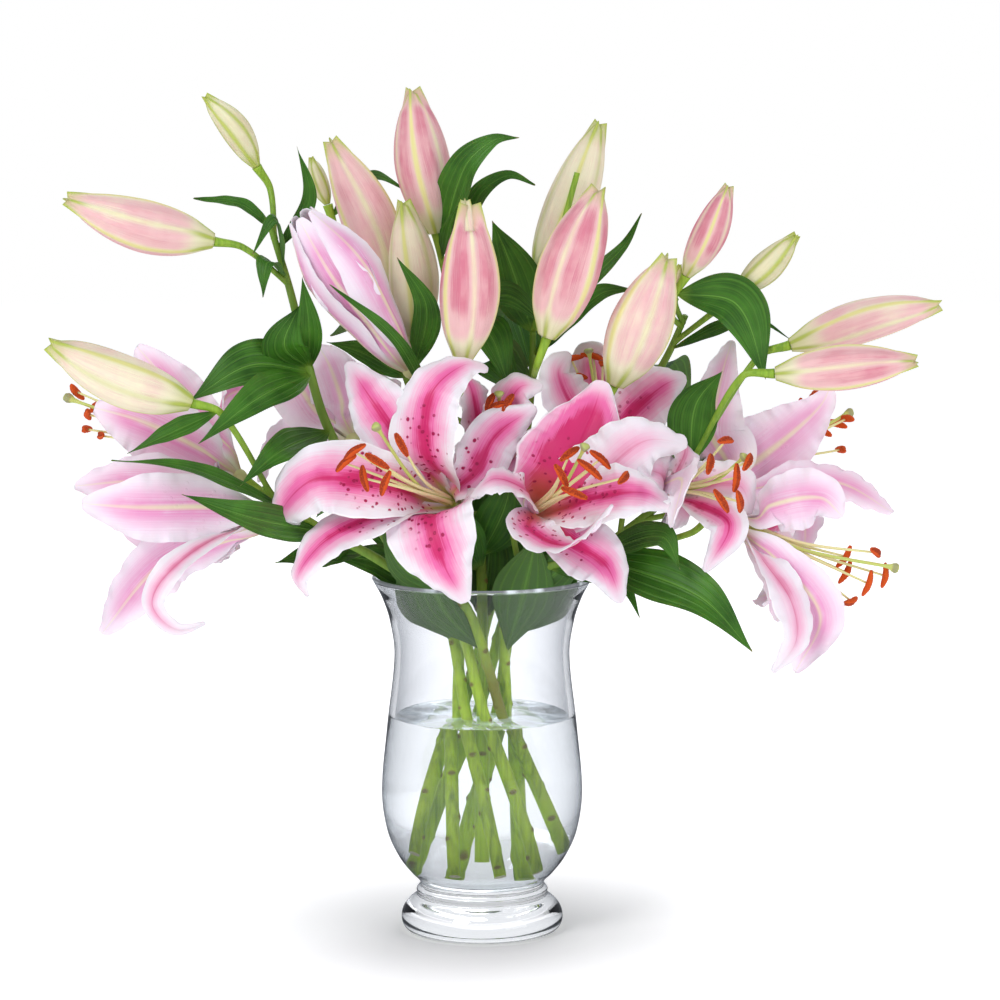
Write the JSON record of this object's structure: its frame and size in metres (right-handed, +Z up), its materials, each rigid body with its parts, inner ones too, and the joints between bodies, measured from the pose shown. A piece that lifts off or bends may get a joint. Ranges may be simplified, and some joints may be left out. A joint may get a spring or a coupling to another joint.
{
  "type": "lilies in a vase",
  "caption": "Cut pink lilies with open blooms, buds and leafy stems, standing in water in a clear waisted glass vase with a flared rim and a round foot.",
  "frame": {"origin": "centre of the underside of the vase's foot, on the surface that the vase stands on", "axes": "+Z up along the vase's axis; +Y away from the side that the picture shows; +X to the right in it"},
  "size_m": [0.6097, 0.2533, 0.587],
  "materials": {
    "glass": "clear, polished",
    "water": "clear liquid",
    "foliage": "waxy, satin",
    "petal": "satin, matte at the ruffles",
    "stamen": "matte pollen",
    "bud": "satin"
  },
  "bodies": {
    "root": {"vase": "glass", "water": "water", "stem_1": "foliage", "stem_2": "foliage", "stem_3": "foliage", "stem_4": "foliage", "stem_5": "foliage", "stem_6": "foliage", "stem_7": "foliage", "stem_8": "foliage", "stem_9": "foliage", "bloom_A_petals": "petal", "bloom_A_stamens": "stamen", "bloom_B_petals": "petal", "bloom_B_stamens": "stamen", "bloom_C_petals": "petal", "bloom_C_stamens": "stamen", "bloom_D_petals": "petal", "bloom_D_stamens": "stamen", "bloom_E_petals": "petal", "bloom_E_stamens": "stamen", "bloom_F_petals": "petal", "bloom_F_stamens": "stamen", "bloom_G_petals": "petal", "bloom_G_stamens": "stamen", "bloom_H_petals": "petal", "bloom_H_stamens": "stamen", "bloom_I_petals": "petal", "bloom_I_stamens": "stamen", "bloom_J_petals": "petal", "bloom_J_stamens": "stamen", "bloom_K_half_open": "petal", "bud_1": "bud", "bud_2": "bud", "bud_3": "bud", "bud_4": "bud", "bud_5": "bud", "bud_6": "bud", "bud_7": "bud", "bud_8": "bud", "bud_9": "bud", "bud_10": "bud", "bud_11": "bud", "bud_12": "bud", "bud_13": "bud", "bud_14": "bud", "bud_15": "bud", "bud_16": "bud"}
  },
  "joints": []
}
